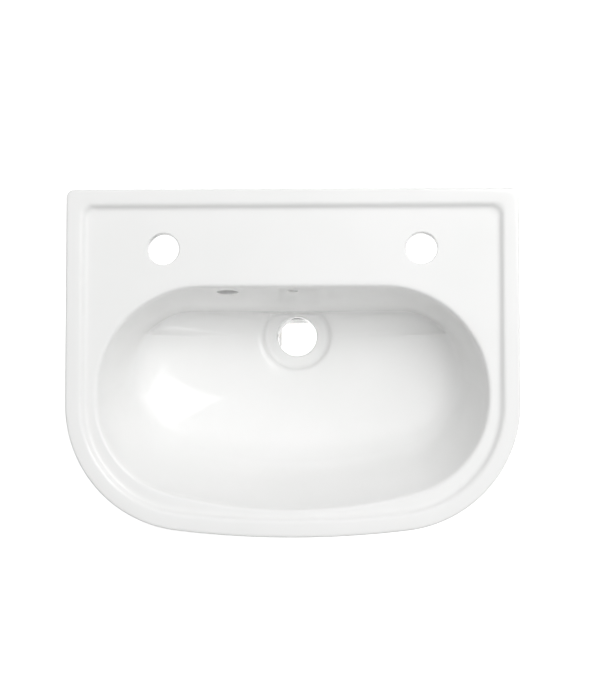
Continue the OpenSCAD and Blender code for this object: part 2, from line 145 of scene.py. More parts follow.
def outline(o):
    """Points of a D shape, clockwise from above.

    o holds its half width, back, back corner radius, front, front corner radius and front arc radius.
    """
    w, yb, rb, yf, rf, ra = o
    share = 1.0
    while share > 0.1 and (
        rb * share + front_rise(w, rf * share, ra) > yb - yf - SHORTEST_SIDE
        or max(rb, rf) * share > w - SHORTEST_SIDE
    ):
        share -= 0.01
    rb, rf = rb * share, rf * share
    cy = yf + front_rise(w, rf, ra)
    turn = math.atan2(cy - (yf + ra), w - rf)
    t = [np.arange(n) / n for n in STEPS]
    back = np.stack([(w - rb) * t[0], np.full(STEPS[0], yb)], 1)
    a = math.pi / 2 * (1 - t[1])
    corner = np.stack([w - rb + rb * np.cos(a), yb - rb + rb * np.sin(a)], 1)
    side = np.stack([np.full(STEPS[2], w), yb - rb + (cy - yb + rb) * t[2]], 1)
    a = turn * t[3]
    front_corner = np.stack([w - rf + rf * np.cos(a), cy + rf * np.sin(a)], 1)
    a = turn + (-math.pi / 2 - turn) * t[4]
    front = np.stack([ra * np.cos(a), yf + ra + ra * np.sin(a)], 1)
    half = np.concatenate([back, corner, side, front_corner, front])
    mirrored = half[:0:-1] * (-1, 1)
    return np.concatenate([half, [[0.0, yf]], mirrored])


def grow(o, e):
    """An outline made larger all round by e."""
    return (o[0] + e, o[1] + e, max(SQUARE_R, o[2] + e), o[3] - e, o[4] + e, o[5] + e)


def at(points, z):
    """A ring: an outline at one height, or at a height for each point."""
    return np.concatenate([points, np.zeros((len(points), 1)) + z], 1)


def mix(a, b, f, z):
    """A ring between two outlines."""
    return at(a[:, :2] * (1 - f) + b[:, :2] * f, z)


def soft_min(a, b, k):
    """The smaller of two values, with a rounded change from one to the other."""
    return -k * np.log(np.exp(-a / k) + np.exp(-b / k))


def spline(controls, steps=SPAN_STEPS):
    """Rings along a cubic B-spline through control rings, which meets the first and the last."""
    c = np.array(controls)
    c = np.concatenate([[2 * c[0] - c[1]], c, [2 * c[-1] - c[-2]]])
    rings = []
    for k in range(1, len(c) - 2):
        for t in np.arange(steps) / steps:
            w = ((1 - t) ** 3, 3 * t**3 - 6 * t**2 + 4, -3 * t**3 + 3 * t**2 + 3 * t + 1, t**3)
            rings.append(sum(wi * ci for wi, ci in zip(w, c[k - 1 : k + 3])) / 6)
    rings.append(c[-2])
    return np.array(rings)


# ---------------------------------------------------------------- mesh helpers
def new_object(name, data):
    obj = bpy.data.objects.new(name, data)
    bpy.context.scene.collection.objects.link(obj)
    return obj


def band(a, b, n):
    """Faces between two closed rows of n points, whose first points are a and b."""
    return [[a + i, a + (i + 1) % n, b + (i + 1) % n, b + i] for i in range(n)]


def skin(name, rings):
    """A closed mesh through rings, clockwise from above, that rise inside and come down outside."""
    count, n = len(rings), len(rings[0])
    verts = rings.reshape(-1, 3)
    faces = [list(range(n))[::-1]]
    for k in range(count - 1):
        faces += band(k * n, (k + 1) * n, n)
    faces.append([(count - 1) * n + i for i in range(n)])
    mesh = bpy.data.meshes.new(name)
    mesh.from_pydata(verts.tolist(), [], faces)
    return new_object(name, mesh)


def turned(profile, segments=96):
    """A closed mesh from (radius, height) points turned about Z; the ends are capped."""
    mesh = bpy.data.meshes.new("turned")
    angles = np.arange(segments) * 2 * math.pi / segments
    verts = [(r * math.cos(a), r * math.sin(a), z) for r, z in profile for a in angles]
    faces = [[k for k in range(segments)][::-1]]
    for row in range(len(profile) - 1):
        faces += band(row * segments, (row + 1) * segments, segments)
    faces.append([(len(profile) - 1) * segments + k for k in range(segments)])
    mesh.from_pydata(verts, [], faces)
    return new_object("turned", mesh)


def place(obj, origin, axis):
    """Bakes a turn and a move into the mesh, so that its Z points along axis from origin."""
    turn = Vector(axis).to_track_quat("Z", "Y").to_matrix().to_4x4()
    obj.data.transform(Matrix.Translation(origin) @ turn)
    return obj


def hole_cutter(r, depth, edge, face, axis, far_edge=0.0):
    """A tool for a hole of radius r with a rounded mouth at face, pointing out along axis."""
    above = 6 * MM
    mouth = [(r + edge * (1 - math.cos(a)), edge * (math.sin(a) - 1)) for a in MOUTH_ANGLES]
    lip_r, lip_z = mouth[-1]
    flare_r = lip_r - MOUTH_FLARE * lip_z
    top = [(flare_r, 0.2 * MM), (flare_r + above, above)]
    bottom = [(r, -depth)]
    if far_edge:
        bottom = [(r + far_edge + 2 * MM, -depth - 2 * MM), (r + far_edge, -depth), (r, -depth + far_edge)]
    return place(turned(bottom + mouth + top), face, axis)


def boolean(obj, tool, operation):
    """Applies one exact boolean and removes the tool."""
    mod = obj.modifiers.new("cut", "BOOLEAN")
    mod.operation = operation
    mod.solver = "EXACT"
    mod.object = tool
    bake_modifiers(obj)
    bpy.data.meshes.remove(tool.data)


def bake_modifiers(obj):
    deps = bpy.context.evaluated_depsgraph_get()
    mesh = bpy.data.meshes.new_from_object(obj.evaluated_get(deps))
    old = obj.data
    obj.modifiers.clear()
    obj.data = mesh
    bpy.data.meshes.remove(old)


def smooth(obj, angle=32):
    """Smooth shading, with sharp edges only where faces meet at more than angle."""
    obj.data.shade_smooth()
    obj.data.set_sharp_from_angle(angle=math.radians(angle))


# ---------------------------------------------------------------- basin
rim_o = (HALF_W, HALF_D, BACK_CORNER_R, -HALF_D, FRONT_CORNER_R, FRONT_ARC_R)
lip_o = (HALF_W - SIDE_LEDGE, BOWL_BACK_Y, BOWL_BACK_R,
         -HALF_D + FRONT_LEDGE, BOWL_FRONT_R, BOWL_FRONT_ARC_R)
foot_o = (lip_o[0] - FOOT_INSET[0], lip_o[1] - FOOT_INSET[1], FOOT_CORNER_R[0],
          lip_o[3] + FOOT_INSET[2], FOOT_CORNER_R[1], FOOT_ARC_R)
seat_o = (SEAT_HALF_W, waste.y + SEAT_BACK, SQUARE_R,
          waste.y - SEAT_FRONT, SEAT_HALF_W - CORNER_CUT, PED_ARC_R)
collar_o = grow(seat_o, COLLAR_T)


def rim(e, z):
    """The rim's outline moved inwards by e, with its small back corners kept."""
    w, back, back_r, front, front_r, arc_r = rim_o
    back_r += BACK_CORNER_GAIN * e
    return at(outline((w - e, back - e, back_r, front + e, front_r - e, arc_r - e)), z)


def lip(e, z):
    return at(outline(grow(lip_o, e)), z)


def dish(r, z, gap):
    """A circle round the waste hole, flattened where it meets the bowl's back wall."""
    p = outline(lip_o)
    a = np.arctan2(p[:, 1] - waste.y, p[:, 0])
    y = soft_min(waste.y + r * np.sin(a), np.full(len(a), foot_o[1] - gap), 1.5 * MM)
    return at(np.stack([r * np.cos(a), y], 1), z)


def bowl_rings():
    wall_h = deck_z - seat_z - FLOOR_RISE
    foot_ring, lip_ring = outline(foot_o), outline(lip_o)
    dish_ring = dish(DISH_R + DISH_EDGE, 0, 0.6 * MM)
    floor_z = seat_z + FLOOR_RISE
    # 1 along the back, where the wall meets the floor in a crisp crease, and 0 elsewhere
    crease = np.clip((foot_ring[:, 1:2] - waste.y) / (foot_o[1] - waste.y), 0, 1) ** 0.5
    return [
        dish(DISH_R - 10 * MM, seat_z, 5 * MM),
        dish(DISH_R - 7 * MM, seat_z, 4 * MM),
        dish(DISH_R - 4 * MM, seat_z, 3 * MM),
        dish(DISH_R - 1 * MM, seat_z + 1.5 * MM, 2.2 * MM),
        dish(DISH_R + 1 * MM, floor_z - 1.5 * MM, 1.4 * MM),
        dish(DISH_R + DISH_EDGE, floor_z, 0.6 * MM),
        mix(foot_ring, dish_ring, 0.62, floor_z + (5 - 2 * crease) * MM),
        mix(foot_ring, dish_ring, 0.32, floor_z + (12.5 - 6 * crease) * MM),
        mix(foot_ring, dish_ring, 0.13, floor_z + (19.5 - 9.5 * crease) * MM),
        mix(foot_ring, dish_ring, 0.04 - 0.025 * crease, floor_z + (25.5 - 12.5 * crease) * MM),
        mix(lip_ring, foot_ring, 1.0, floor_z + (30 - 15 * crease) * MM),
        mix(lip_ring, foot_ring, 0.90 + 0.085 * crease, floor_z + (34 - 16 * crease) * MM),
        mix(lip_ring, foot_ring, 0.75 + 0.09 * crease, floor_z + (42 - 2 * crease) * MM),
        mix(lip_ring, foot_ring, 0.55 + 0.03 * crease, floor_z + 61 * MM),
        mix(lip_ring, foot_ring, 0.29, deck_z - wall_h * 0.33),
        mix(lip_ring, foot_ring, 0.06, deck_z - wall_h * 0.10),
        lip(0.6 * MM, deck_z - 3.5 * MM),
        lip(2.6 * MM, deck_z - 0.6 * MM),
        lip(LIP_ROLL, deck_z),
    ]


def deck_rings():
    inner, outer = lip(LIP_ROLL, deck_z), rim(RIM_W + COVE_W + 1.5 * MM, deck_z)
    drop = RIM_Z - deck_z
    return [mix(inner, outer, f, deck_z) for f in (0.08, 0.3, 0.7, 0.92)] + [
        outer,
        rim(RIM_W + COVE_W * 0.98, deck_z + drop * 0.01),
        rim(RIM_W + COVE_W * 0.78, deck_z + drop * 0.08),
        rim(RIM_W + COVE_W * 0.58, deck_z + drop * 0.30),
        rim(RIM_W + COVE_W * 0.42, RIM_Z - drop * 0.30),
        rim(RIM_W + COVE_W * 0.22, RIM_Z - drop * 0.08),
        rim(RIM_W + COVE_W * 0.02, RIM_Z - drop * 0.01),
        rim(RIM_W - 4 * MM, RIM_Z),
        rim(5 * MM, RIM_Z),
    ]


def belly(o, back, z):
    return at(outline((o[0], back, BACK_CORNER_R, o[3], o[4], o[5])), z)


def shell_rings():
    apron_z = RIM_Z - APRON_H
    top_o, mid_o, low_o = grow(lip_o, 6 * MM), grow(foot_o, WALL_T + 9 * MM), grow(foot_o, WALL_T)
    bottom = seat_z - 4 * MM
    drop = apron_z - REAR_LOW_Z
    low_ring, collar_ring = outline(low_o), outline(collar_o)
    return [
        rim(2.4 * MM, RIM_Z - 0.1 * MM),
        rim(0.7 * MM, RIM_Z - 0.6 * MM),
        rim(0, RIM_Z - 2.4 * MM),
        rim(0, RIM_Z - 7 * MM),
        rim(0, apron_z + 13 * MM),
        rim(0.4 * MM, apron_z + 5 * MM),
        rim(4.5 * MM, apron_z + 0.5 * MM),
        rim(11 * MM, apron_z),
        belly(grow(top_o, 5 * MM), HALF_D, apron_z - 1 * MM),
        belly(top_o, HALF_D, apron_z - drop * 0.16),
        belly(grow(mid_o, 6 * MM), HALF_D, apron_z - drop * 0.60),
        belly(mid_o, HALF_D, REAR_LOW_Z + 8 * MM),
        belly(grow(low_o, 3 * MM), HALF_D - 1 * MM, REAR_LOW_Z + 1 * MM),
        belly(grow(low_o, 2 * MM), HALF_D - 9 * MM, REAR_LOW_Z),
        belly(grow(low_o, 1 * MM), BOWL_BACK_Y + WALL_T - 4 * MM, REAR_LOW_Z - 0.5 * MM),
        belly(low_o, BOWL_BACK_Y + WALL_T - 4 * MM, REAR_LOW_Z - 3 * MM),
        mix(low_ring, collar_ring, 0.35, bottom + 4 * MM),
        mix(low_ring, collar_ring, 0.68, bottom - 2 * MM),
        mix(low_ring, collar_ring, 0.92, bottom - 8 * MM),
        at(collar_ring, bottom - 20 * MM),
        at(collar_ring, bottom - 28 * MM),
        at(collar_ring, collar_z + 3 * MM),
        at(outline(grow(collar_o, -0.6 * MM)), collar_z + 1 * MM),
        at(outline(grow(collar_o, -2.5 * MM)), collar_z),
    ]


def block(o, z_low, z_high, top_edge=3 * MM):
    """A prism of an outline with a rounded upper edge."""
    rings = [at(outline(o), z_low), at(outline(o), z_high - top_edge)]
    for a in np.radians((20, 40, 60, 90)):
        inset = top_edge * (1 - math.cos(a))
        rings.append(at(outline(grow(o, -inset)), z_high - top_edge * (1 - math.sin(a))))
    return skin("block", np.array(rings)[::-1])


def box_piece(low, high, r=0.0, segments=3):
    """A box, with all its edges rounded by r where it is given."""
    mesh = bpy.data.meshes.new("box")
    bm = bmesh.new()
    bmesh.ops.create_cube(bm, size=1)
    for v in bm.verts:
        v.co = Vector([low[i] + (v.co[i] + 0.5) * (high[i] - low[i]) for i in range(3)])
    if r:
        bmesh.ops.bevel(bm, geom=bm.edges[:], offset=r, segments=segments, profile=0.5, affect="EDGES")
    bm.to_mesh(mesh)
    bm.free()
    return new_object("box", mesh)


def capsule(width, y_low, y_high, top, low):
    """A plate with two round ends, whose centres are top and low in the XZ plane."""
    n = 32
    heading = math.atan2(low[1] - top[1], low[0] - top[0])
    points = []
    for centre, start in ((top, heading + math.pi / 2), (low, heading - math.pi / 2)):
        for k in range(n + 1):
            a = start + math.pi * k / n
            points.append((centre[0] + width / 2 * math.cos(a), centre[1] + width / 2 * math.sin(a)))
    count = len(points)
    verts = [(x, y, z) for y in (y_low, y_high) for x, z in points]
    faces = [list(range(count)), list(range(count, 2 * count))[::-1]]
    faces += [[(k + 1) % count, k, count + k, count + (k + 1) % count] for k in range(count)]
    mesh = bpy.data.meshes.new("capsule")
    mesh.from_pydata(verts, [], faces)
    return new_object("capsule", mesh)


def cut_underside(obj):
    """Cuts the space behind the bowl, and the socket and the hollow over the pedestal."""
    ceiling = deck_z - DECK_T
    spaces = ((foot_o[0] - 2 * MM, REAR_LOW_Z - 3 * MM), (collar_o[0] - 10 * MM, collar_z - CUT))
    for half, z_low in spaces:
        pocket = box_piece((-half, waste.y, z_low), (half, HALF_D - REAR_WALL_T, ceiling))
        levels = (ceiling + CUT, z_low - CUT)
        keep = skin("keep", np.array([at(outline(grow(lip_o, WALL_T)), z) for z in levels]))
        boolean(pocket, keep, "DIFFERENCE")
        boolean(obj, pocket, "DIFFERENCE")
    boolean(obj, block(grow(seat_o, 2 * MM), collar_z - CUT, ledge_z, 0.5 * MM), "DIFFERENCE")
    boolean(obj, block(grow(seat_o, -16 * MM), collar_z - CUT, seat_z - WALL_T + 4 * MM), "DIFFERENCE")


def add_boss_and_duct(obj, duct_y, top, low):
    """Adds the waste's boss and the hollow duct that runs to it from the overflow hole."""
    boss_r = waste_r + WALL_T
    boss = turned([(boss_r - 2 * MM, boss_z), (boss_r, boss_z + 2 * MM), (boss_r, seat_z - 4 * MM)])
    boolean(obj, place(boss, (0, waste.y, 0), (0, 0, 1)), "UNION")
    half, rise = DUCT_FOOT
    foot = box_piece((-half, waste.y + boss_r / 2, low[1] - rise), (half, duct_y + DUCT_D, low[1] + rise))
    boolean(obj, foot, "UNION")
    boolean(obj, capsule(DUCT_W + 2 * DUCT_T, duct_y - DUCT_T, duct_y + DUCT_D + DUCT_T, top, low), "UNION")
    boolean(obj, capsule(DUCT_W, duct_y, duct_y + DUCT_D, top, low), "DIFFERENCE")
    port = turned([(DUCT_PORT_R, 0), (DUCT_PORT_R, duct_y + CUT - waste.y)])
    boolean(obj, place(port, (0, waste.y, low[1]), (0, 1, 0)), "DIFFERENCE")


def cut_basin_holes(obj, duct_y, overflow_z):
    """Cuts the holes, those on show with a glazed and rounded mouth."""
    bm = bmesh.new()
    bm.from_mesh(obj.data)
    tree = BVHTree.FromBMesh(bm)
    wall_holes = (OVERFLOW_X, overflow_z, OVERFLOW_R, 1.6 * MM), (0.0, stay.z, stay_r, 1.2 * MM)
    for x, z, r, edge in wall_holes:
        hit, normal = tree.ray_cast(Vector((x, waste.y, z)), Vector((0, 1, 0)))[:2]
        depth = duct_y + 2 * MM - hit.y if x else STAY_DEPTH
        boolean(obj, hole_cutter(r, depth, edge, hit, normal), "DIFFERENCE")
    bm.free()
    seat = (0, waste.y, seat_z)
    boolean(obj, hole_cutter(waste_r, seat_z - boss_z, 2.2 * MM, seat, (0, 0, 1), 1.5 * MM), "DIFFERENCE")
    for side in (-1, 1):
        deck = (side * tap.x, tap.y, deck_z)
        boolean(obj, hole_cutter(tap_r, DECK_T, 1.6 * MM, deck, (0, 0, 1), 1 * MM), "DIFFERENCE")
        bolt = turned([(WALL_HOLE_R, -CUT), (WALL_HOLE_R, REAR_WALL_T + 2 * MM)])
        rear = (side * wall_bolt.x, HALF_D - REAR_WALL_T - CUT, wall_bolt.z)
        boolean(obj, place(bolt, rear, (0, 1, 0)), "DIFFERENCE")


def make_basin():
    obj = skin("basin_casting", spline(bowl_rings() + deck_rings() + shell_rings()))
    duct_y = BOWL_BACK_Y + WALL_T - 1.5 * MM
    overflow_z = deck_z - OVERFLOW_DROP
    cut_underside(obj)
    add_boss_and_duct(obj, duct_y, (OVERFLOW_X, overflow_z), (0.0, boss_z + DUCT_PORT_RISE))
    cut_basin_holes(obj, duct_y, overflow_z)
    smooth(obj)
    return obj


# ---------------------------------------------------------------- pedestal
ped_top = pedestal_high.z
foot_half_w = pedestal_high.x
foot_front_y, foot_back_y = pedestal_low.y, pedestal_high.y
seat_front_y, seat_back_y = seat_o[3], seat_o[1]
waist_half_w, waist_front_y, waist_back_y = 79 * MM, seat_front_y + 18 * MM, seat_back_y + 4 * MM
PLINTH_H = 30 * MM
BRIDGE_T = 12 * MM
END_R = 4 * MM              # rounded ends of the U
LUG_EDGE = 18 * MM
LUG_H = 16 * MM
CUP_BORE_R = 5.95 * MM


def u_side(half_w, y_front, y_back, thick, end_r):
    """Outer points of a U, from the middle of its right end to the front, and the inner ones beside them."""
    def run(w, y_low):
        half = outline((w, y_back, SQUARE_R, y_low, w - CORNER_CUT, PED_ARC_R))
        side = half[STEPS[0] + STEPS[1] : sum(STEPS)]
        return side[side[:, 1] < y_back - end_r - 1 * MM]
    out, inn = run(half_w, y_front), run(half_w - thick, y_front + thick)
    rows = min(len(out), len(inn))
    out, inn = out[-rows:], inn[-rows:]
    middle = half_w - thick / 2
    a = np.radians(np.linspace(90, 0, 6))
    end_x = middle + (thick / 2 - end_r) + end_r * np.cos(a)
    end_y = y_back - end_r + end_r * np.sin(a)
    out = np.concatenate([np.stack([end_x, end_y], 1), out, [[0.0, y_front]]])
    inn = np.concatenate([np.stack([2 * middle - end_x, end_y], 1), inn, [[0.0, y_front + thick]]])
    return out, inn


def u_ring(level, inset=0.0):
    """A closed ring of the pedestal's wall at one level: half width, front y, back y and height."""
    half_w, y_front, y_back, z = level
    thick, end_r = PED_T - 2 * inset, END_R - inset * 0.5
    out, inn = u_side(half_w - inset, y_front + inset, y_back - inset, thick, end_r)
    mirror = np.array([-1, 1])
    loop = np.concatenate([out, out[-2::-1] * mirror, inn * mirror, inn[-2::-1]])
    return at(loop, z)


def between(a, b, f, z):
    """A level at height z whose sizes lie between those of a and b."""
    return tuple(u * (1 - f) + v * f for u, v in zip(a, b)) + (z,)


def pedestal_rings():
    foot = (foot_half_w, foot_front_y, foot_back_y)
    waist = (waist_half_w, waist_front_y, waist_back_y)
    seat = (SEAT_HALF_W, seat_front_y, seat_back_y)
    # Height over the floor and how far the rounded edge stands back, in millimetres
    plinth = [(foot + (z * MM,), inset) for z, inset in ((0, 2.6), (0, 1.6), (0.4, 0.6), (2, 0), (8, 0))]
    plinth += [(foot + (z,), 0) for z in (PLINTH_H * 0.6, PLINTH_H - 2.5 * MM)]
    # How far the flare has come from the foot to the waist, and its height over the plinth
    flare = [(between(foot, waist, f, PLINTH_H + rise * MM), 0) for f, rise in (
        (0.012, 0), (0.07, 2.5), (0.16, 4.5), (0.28, 9), (0.40, 18), (0.56, 34), (0.82, 80), (1, 165))]
    middle = [(between(foot, waist, 1, ped_top * 0.56), 0)]
    neck = [(between(waist, seat, f, ped_top - drop * MM), 0) for f, drop in (
        (0.18, 145), (0.55, 80), (0.92, 36))]
    top = [(seat + (ped_top - drop * MM,), inset) for drop, inset in (
        (18, 0), (5, 0), (2, 0), (0.4, 0.5), (0, 1.5), (0, 2.4))]
    return spline([u_ring(level, inset * MM) for level, inset in plinth + flare + middle + neck + top])


def u_skin(name, rings):
    """A closed mesh through U rings that rise, with flat ends made of quads."""
    count, n = len(rings), len(rings[0])
    half = n // 2
    top = (count - 1) * n
    faces = []
    for i in range(half):
        j, p, q = (i + 1) % n, (n - 1 - i) % n, (n - 2 - i) % n
        if len({i, j, p, q}) == 4:
            faces.append([i, j, q, p])
            faces.append([top + p, top + q, top + j, top + i])
    for k in range(count - 1):
        faces += band((k + 1) * n, k * n, n)
    mesh = bpy.data.meshes.new(name)
    mesh.from_pydata(rings.reshape(-1, 3).tolist(), [], faces)
    return new_object(name, mesh)


def make_pedestal():
    obj = u_skin("pedestal_column", pedestal_rings())
    webs = (
        (foot_half_w - PED_T / 2, foot_back_y - 2 * MM, 1 * MM, PLINTH_H - 2 * MM),
        (SEAT_HALF_W - PED_T / 2, seat_back_y - 2 * MM, ped_top - 62 * MM, 44 * MM),
    )
    for half, y_back, z_low, height in webs:
        web = box_piece((-half, y_back - BRIDGE_T, z_low), (half, y_back, z_low + height), 3 * MM)
        boolean(obj, web, "UNION")
    for side in (-1, 1):
        xs = sorted((side * (floor_screw.x - LUG_EDGE), side * (foot_half_w - PED_T / 2)))
        low, high = (xs[0], floor_screw.y - LUG_EDGE, 1 * MM), (xs[1], foot_back_y - BRIDGE_T / 2, LUG_H)
        boolean(obj, box_piece(low, high, 2.5 * MM), "UNION")
        lug_top = (side * floor_screw.x, floor_screw.y, LUG_H)
        boolean(obj, hole_cutter(CUP_BORE_R, LUG_H, 0.8 * MM, lug_top, (0, 0, 1)), "DIFFERENCE")
    smooth(obj)
    return obj


# ---------------------------------------------------------------- small pieces
def rounded_profile(points, r, steps=4):
    """A profile of (radius, height) points with its corners rounded by r, or less where runs are short."""
    out = [points[0]]
    for before, here, after in zip(points, points[1:], points[2:]):
        p, a, b = Vector(here), Vector(before), Vector(after)
        reach = min(r, (a - p).length * 0.45, (b - p).length * 0.45)
        start, end = p + (a - p).normalized() * reach, p + (b - p).normalized() * reach
        for k in range(steps + 1):
            t = k / steps
            out.append(tuple(start * (1 - t) ** 2 + p * (2 * t * (1 - t)) + end * t**2))
    return out + [points[-1]]


def turned_tube(profile, r, segments=72):
    """A closed ring shape: the (radius, height) points of a loop turned about Z, with rounded corners."""
    loop = rounded_profile([profile[-1]] + profile + [profile[0]], r)[1:-1]
    angles = np.arange(segments) * 2 * math.pi / segments
    verts = [(x * math.cos(a), x * math.sin(a), z) for x, z in loop for a in angles]
    rows = len(loop)
    faces = []
    for row in range(rows):
        faces += band(row * segments, (row + 1) % rows * segments, segments)
    mesh = bpy.data.meshes.new("tube")
    mesh.from_pydata(verts, [], faces)
    return new_object("tube", mesh)


def recalc(obj):
    """Turns every face outwards."""
    bm = bmesh.new()
    bm.from_mesh(obj.data)
    bmesh.ops.recalc_face_normals(bm, faces=bm.faces[:])
    bm.to_mesh(obj.data)
    bm.free()
    return obj


def finished(obj, name, material, node, body, angle=35):
    """Names a piece, gives it its material and puts it in the place of a CAD node."""
    obj.name = name
    obj.data.materials.clear()
    obj.data.materials.append(material)
    smooth(obj, angle)
    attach(obj, body)
    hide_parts(node)


def make_pad(node):
    """A rubber bedding pad with two shallow grooves along its top."""
    low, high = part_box(node)
    pad = box_piece(low, high, 0.7 * MM)
    for f in (0.3, 0.7):
        x = low.x + (high.x - low.x) * f
        groove = box_piece((x - 0.7 * MM, low.y + 3 * MM, high.z - 0.6 * MM),
                           (x + 0.7 * MM, high.y - 3 * MM, high.z + 2 * MM), 0.3 * MM)
        boolean(pad, groove, "DIFFERENCE")
    return pad


def make_sleeve(node):
    """A flanged nylon sleeve with four shallow grip slots in its flange."""
    low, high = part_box(node)
    r_bore = bore_r("wall_fixing_right")
    r_flange = (high.x - low.x) / 2
    face_t, tube_r = 3 * MM, r_bore + 3.6 * MM
    length = high.y - low.y
    profile = [(r_bore, 0), (r_flange, 0), (r_flange, face_t),
               (tube_r, face_t), (tube_r, length), (r_bore, length)]
    tube = recalc(turned_tube(profile, 0.7 * MM))
    centre = Vector(((low.x + high.x) / 2, low.y, (low.z + high.z) / 2))
    place(tube, centre, (0, 1, 0))
    for k in range(4):
        a = math.pi / 4 + k * math.pi / 2
        spot = centre + Vector((math.cos(a), 0, math.sin(a))) * (r_flange - 1.5 * MM)
        slot = turned(rounded_profile([(1.4 * MM, -1 * MM), (1.4 * MM, 1.2 * MM)], 0.3 * MM), 20)
        boolean(tube, place(slot, spot, (0, 1, 0)), "DIFFERENCE")
    return tube


def at_lug(obj, side):
    """Moves a piece drawn round the left screw, with its hinge inwards, to its side."""
    turn = Matrix.Rotation(math.pi if side > 0 else 0, 4, "Z")
    obj.data.transform(Matrix.Translation((side * floor_screw.x, floor_screw.y, 0)) @ turn)
    return obj


CUP_R = 12 * MM
FLANGE_T = 2.4 * MM
HINGE_R = 2 * MM
HINGE_OFF = HINGE_R + 0.5 * MM
HINGE_X = CUP_R + HINGE_OFF
HINGE_Z = LUG_H + FLANGE_T + HINGE_OFF
KNUCKLE = 6 * MM
EAR_T = 2.2 * MM
EAR_Y = KNUCKLE / 2 + 0.25 * MM
PIN_R = 0.8 * MM
LID_H = 7 * MM


def rod(r, y_low, y_high, edge=0.25 * MM, segments=40):
    """A rod along Y on the hinge axis, with rounded ends."""
    length = y_high - y_low
    profile = rounded_profile([(r * 0.3, 0), (r, 0), (r, length), (r * 0.3, length)], edge)
    return place(recalc(turned(profile, segments)), (HINGE_X, y_low, HINGE_Z), (0, 1, 0))


def make_cup(side):
    screw_r = bore_r("floor_fixing_right")
    tube_r, top = screw_r + 2.6 * MM, LUG_H + FLANGE_T
    profile = [(screw_r, 1 * MM), (tube_r, 1 * MM), (tube_r, LUG_H),
               (CUP_R, LUG_H), (CUP_R, top), (screw_r, top)]
    cup = recalc(turned_tube(profile, 0.5 * MM))
    for s in (-1, 1):
        y = sorted((s * EAR_Y, s * (EAR_Y + EAR_T)))
        web = box_piece((CUP_R - 4 * MM, y[0], LUG_H + 0.3 * MM),
                        (HINGE_X + HINGE_R, y[1], HINGE_Z), 0.3 * MM)
        boolean(cup, web, "UNION")
        boolean(cup, rod(HINGE_R - 0.005 * MM, y[0] + 0.01 * MM, y[1] - 0.01 * MM), "UNION")
    room = turned([(CUP_R + 0.5 * MM, top + 0.01 * MM), (CUP_R + 0.5 * MM, top + 8 * MM)])
    boolean(cup, room, "DIFFERENCE")
    bore = turned([(PIN_R, -2 * EAR_Y - EAR_T), (PIN_R, 2 * EAR_Y + EAR_T)], 32)
    boolean(cup, place(bore, (HINGE_X, 0, HINGE_Z), (0, 1, 0)), "DIFFERENCE")
    return at_lug(cup, side)


def make_lid(side):
    low_z = LUG_H + FLANGE_T + 0.25 * MM
    top_z, taper, wall = low_z + LID_H, 2.5 * MM, 1.5 * MM
    inner, axis_r = CUP_R - taper - wall, 0.5 * MM
    dome = [(axis_r, low_z), (CUP_R, low_z), (CUP_R - taper, top_z), (axis_r, top_z)]
    lid = recalc(turned(rounded_profile(dome, 1.1 * MM, 6)))
    arm = box_piece((CUP_R - 3 * MM, -KNUCKLE / 2, HINGE_Z - PIN_R),
                    (HINGE_X, KNUCKLE / 2, HINGE_Z + 1.2 * MM), 0.3 * MM)
    boolean(lid, arm, "UNION")
    boolean(lid, rod(HINGE_R, -KNUCKLE / 2, KNUCKLE / 2), "UNION")
    hollow = [(inner, low_z - CUT), (inner, top_z - wall), (axis_r, top_z - wall)]
    boolean(lid, recalc(turned(rounded_profile(hollow, 0.8 * MM))), "DIFFERENCE")
    bore = turned([(PIN_R + 0.06 * MM, -KNUCKLE), (PIN_R + 0.06 * MM, KNUCKLE)], 32)
    boolean(lid, place(bore, (HINGE_X, 0, HINGE_Z), (0, 1, 0)), "DIFFERENCE")
    return at_lug(lid, side)


def make_pin(side):
    reach = EAR_Y + EAR_T
    return at_lug(rod(PIN_R - 0.002 * MM, -reach, reach, 0.2 * MM), side)


# ---------------------------------------------------------------- materials
def nodes_of(name):
    """A new material, its node tree and its shader."""
    mat = bpy.data.materials.new(name)
    mat.use_nodes = True
    return mat, mat.node_tree, mat.node_tree.nodes["Principled BSDF"]


def noise(tree, scale, detail=3.0, stretch=(1, 1, 1)):
    """Noise in the object's own space, scale per metre."""
    coord = tree.nodes.new("ShaderNodeTexCoord")
    mapping = tree.nodes.new("ShaderNodeMapping")
    mapping.inputs["Scale"].default_value = stretch
    texture = tree.nodes.new("ShaderNodeTexNoise")
    texture.inputs["Scale"].default_value = scale
    texture.inputs["Detail"].default_value = detail
    tree.links.new(coord.outputs["Object"], mapping.inputs["Vector"])
    tree.links.new(mapping.outputs["Vector"], texture.inputs["Vector"])
    return texture.outputs["Fac"]


def feed(shader, key, value):
    shader.id_data.links.new(value, shader.inputs[key])


def ramp(tree, value, low, high, first, last):
    """Maps value from low to high onto a mix of two colours."""
    node = tree.nodes.new("ShaderNodeValToRGB")
    for element, position, colour in zip(node.color_ramp.elements, (low, high), (first, last)):
        element.position = position
        element.color = (*colour, 1)
    tree.links.new(value, node.inputs["Fac"])
    return node.outputs["Color"]


def span(tree, value, low, high, first, last):
    """Maps value from low to high onto a range of numbers."""
    node = tree.nodes.new("ShaderNodeMapRange")
    for key, number in (("From Min", low), ("From Max", high), ("To Min", first), ("To Max", last)):
        node.inputs[key].default_value = number
    tree.links.new(value, node.inputs["Value"])
    return node.outputs["Result"]


def bump(tree, height, distance, strength, onto=None):
    node = tree.nodes.new("ShaderNodeBump")
    node.inputs["Distance"].default_value = distance
    node.inputs["Strength"].default_value = strength
    tree.links.new(height, node.inputs["Height"])
    if onto:
        tree.links.new(onto, node.inputs["Normal"])
    return node.outputs["Normal"]


